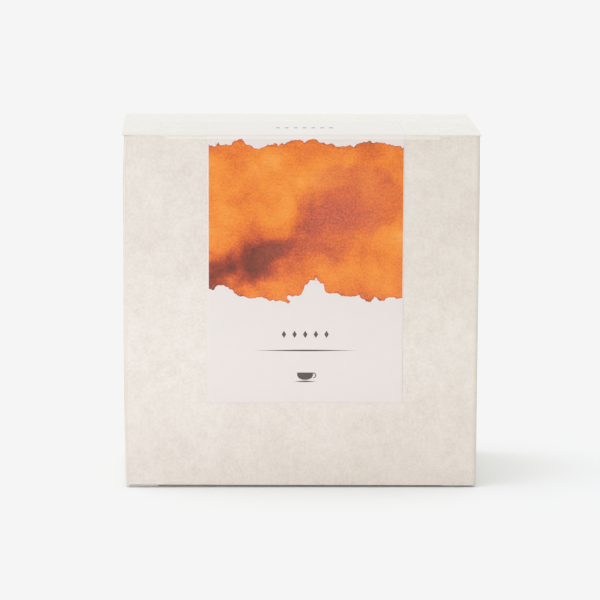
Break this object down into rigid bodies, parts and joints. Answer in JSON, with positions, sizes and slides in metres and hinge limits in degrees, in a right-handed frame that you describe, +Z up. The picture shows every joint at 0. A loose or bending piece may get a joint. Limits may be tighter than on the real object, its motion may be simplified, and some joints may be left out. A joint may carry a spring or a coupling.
{
  "type": "tea box",
  "caption": "Shut straight-tuck folding carton for tea bags in mottled natural paperboard, with a printed paper label sealing its lid down the front wall.",
  "frame": {"origin": "centre of the footprint, on the surface that the carton stands on", "axes": "+Z up the walls, +X to the right along the lid's front fold as seen from the front, -Y out of the labelled front wall"},
  "size_m": [0.1, 0.0504, 0.1026],
  "materials": {
    "paperboard": "uncoated, mottled",
    "label_paper": "matte, printed with an orange and brown field of colour"
  },
  "bodies": {
    "root": {"carton": "paperboard", "label": "label_paper"}
  },
  "joints": []
}
